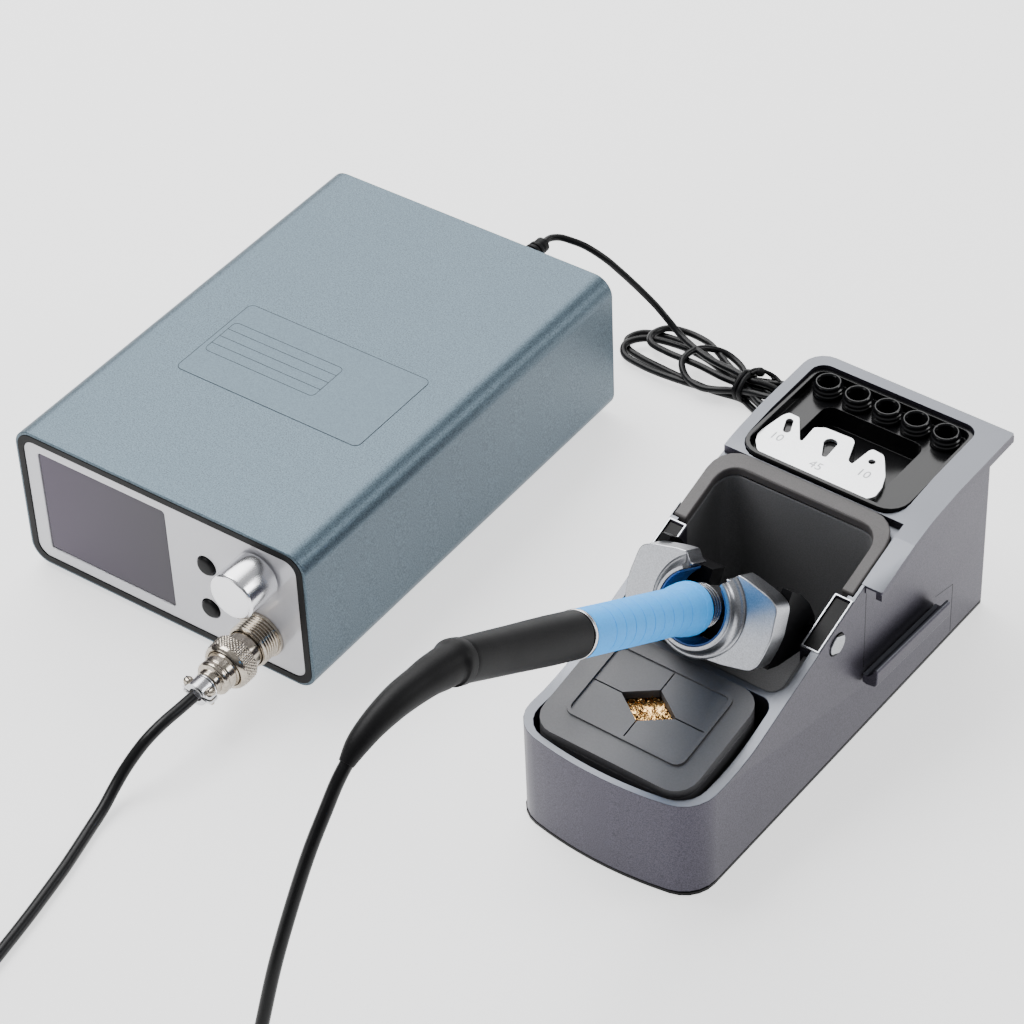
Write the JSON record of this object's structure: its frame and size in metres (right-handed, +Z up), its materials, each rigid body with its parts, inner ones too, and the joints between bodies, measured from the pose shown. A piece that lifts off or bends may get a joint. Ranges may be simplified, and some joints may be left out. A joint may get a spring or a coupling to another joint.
{
  "type": "soldering iron station",
  "caption": "Soldering station: flat control unit with a screen and a knob, and a sloping stand with a tilting iron holder, cleaning box and tip tray, joined by flexible leads.",
  "frame": {"origin": "middle of the base on the bench surface, under the box of everything but the leads", "axes": "+Z up, -Y the front where the screen and the iron point, +X from the control unit towards the stand"},
  "size_m": [0.293, 0.4561, 0.1481],
  "materials": {
    "sleeve_metal": "satin blue-grey anodised",
    "panel_face": "glossy silver-white",
    "black_rubber": "matt black rubber",
    "display": "dark gloss display window",
    "circuit_board": "green circuit board",
    "black_plastic": "satin black",
    "steel": "fine brushed",
    "bright_metal": "bright satin machined",
    "nickel": "warm nickel plate",
    "brass": "fine brass shavings",
    "stand_paint": "silver-grey metallic paint",
    "grey_plastic": "grey moulded plastic",
    "silicone": "matt grey silicone",
    "gloss_black": "gloss black",
    "grip_blue": "matt light blue soft grip",
    "lining_blue": "blue silicone",
    "cord_sheath": "black flexible sheath",
    "supply_case": "plain folded aluminium"
  },
  "bodies": {
    "station": {"case_sleeve": "sleeve_metal", "front_gasket": "black_rubber", "foot_1": "black_rubber", "foot_2": "black_rubber", "foot_3": "black_rubber", "foot_4": "black_rubber", "front_panel": "panel_face", "screen_window": "display", "front_board": "circuit_board", "encoder_body": "steel", "panel_socket": "nickel", "plug_shell": "nickel", "cable_clamp": "steel", "rear_panel": "sleeve_metal", "mains_inlet": "black_plastic", "switch_frame": "black_plastic", "sleep_relief": "black_rubber", "main_board": "circuit_board", "power_supply": "supply_case", "stand_shell": "stand_paint", "base_plate": "black_plastic", "cover_plate": "stand_paint", "cavity_liner": "black_plastic", "liner_rim": "grey_plastic", "tip_tray": "gloss_black", "tip_bush_1": "gloss_black", "tip_bush_2": "gloss_black", "tip_bush_3": "gloss_black", "tip_bush_4": "gloss_black", "tip_bush_5": "gloss_black", "puller_plate": "bright_metal", "side_rail": "stand_paint", "pivot_block_right": "black_plastic", "pivot_block_left": "black_plastic", "sleep_socket": "black_plastic", "iron_lead_plug_run": "cord_sheath", "iron_lead_coil": "cord_sheath", "iron_lead_handle_run": "cord_sheath", "sleep_cable_run": "cord_sheath", "sleep_cable_hank": "cord_sheath", "sleep_cable_end_run": "cord_sheath"},
    "encoder_rotor": {"encoder_rotor": "black_plastic"},
    "control_knob": {"encoder_shaft": "steel", "control_knob": "bright_metal"},
    "channel_button": {"channel_button": "black_plastic"},
    "set_button": {"set_button": "black_plastic"},
    "coupling_nut": {"coupling_nut": "nickel"},
    "power_rocker": {"power_rocker": "black_plastic"},
    "holder": {"holder_carrier": "black_plastic", "holder_cup": "bright_metal", "holder_lining": "lining_blue"},
    "iron": {"grip": "grip_blue", "grip_nose": "steel", "grip_ring": "steel", "barrel": "black_rubber", "boot": "black_rubber"},
    "cartridge": {"cartridge": "steel"},
    "cleaning_box": {"cleaning_box": "silicone", "box_lid": "silicone", "brass_wool": "brass"}
  },
  "joints": [
    {"name": "knob_turn", "type": "hinge", "parent": "station", "child": "encoder_rotor", "pos_m": [-0.03683, -0.03619, 0.046], "axis": [-0.026, 0.9997, 0], "continuous": true},
    {"name": "knob_press", "type": "slide", "parent": "encoder_rotor", "child": "control_knob", "axis": [-0.026, 0.9997, 0], "range_m": [0, 0.0005], "stiffness_N_per_m": 2500},
    {"name": "channel_press", "type": "slide", "parent": "station", "child": "channel_button", "axis": [-0.026, 0.9997, 0], "range_m": [0, 0.0008], "stiffness_N_per_m": 1500},
    {"name": "set_press", "type": "slide", "parent": "station", "child": "set_button", "axis": [-0.026, 0.9997, 0], "range_m": [0, 0.0008], "stiffness_N_per_m": 1500},
    {"name": "nut_turn", "type": "hinge", "parent": "station", "child": "coupling_nut", "pos_m": [-0.03748, -0.05321, 0.0183], "axis": [-0.026, 0.9997, 0], "continuous": true},
    {"name": "power_rock", "type": "hinge", "parent": "station", "child": "power_rocker", "pos_m": [-0.08647, 0.13758, 0.027], "axis": [0.9997, 0.026, 0], "range_deg": [0, 14]},
    {"name": "holder_tilt", "type": "hinge", "parent": "station", "child": "holder", "pos_m": [0.10451, 0.03848, 0.0514], "axis": [-1, 0, 0], "range_deg": [0, 8]},
    {"name": "iron_lift", "type": "slide", "parent": "holder", "child": "iron", "axis": [0, -0.8655, 0.5009], "range_m": [0, 0.075]},
    {"name": "cartridge_pull", "type": "slide", "parent": "iron", "child": "cartridge", "axis": [0, 0.8655, -0.5009], "range_m": [0, 0.012]},
    {"name": "box_lift", "type": "slide", "parent": "station", "child": "cleaning_box", "axis": [0, 0, 1], "range_m": [0, 0.003]}
  ]
}
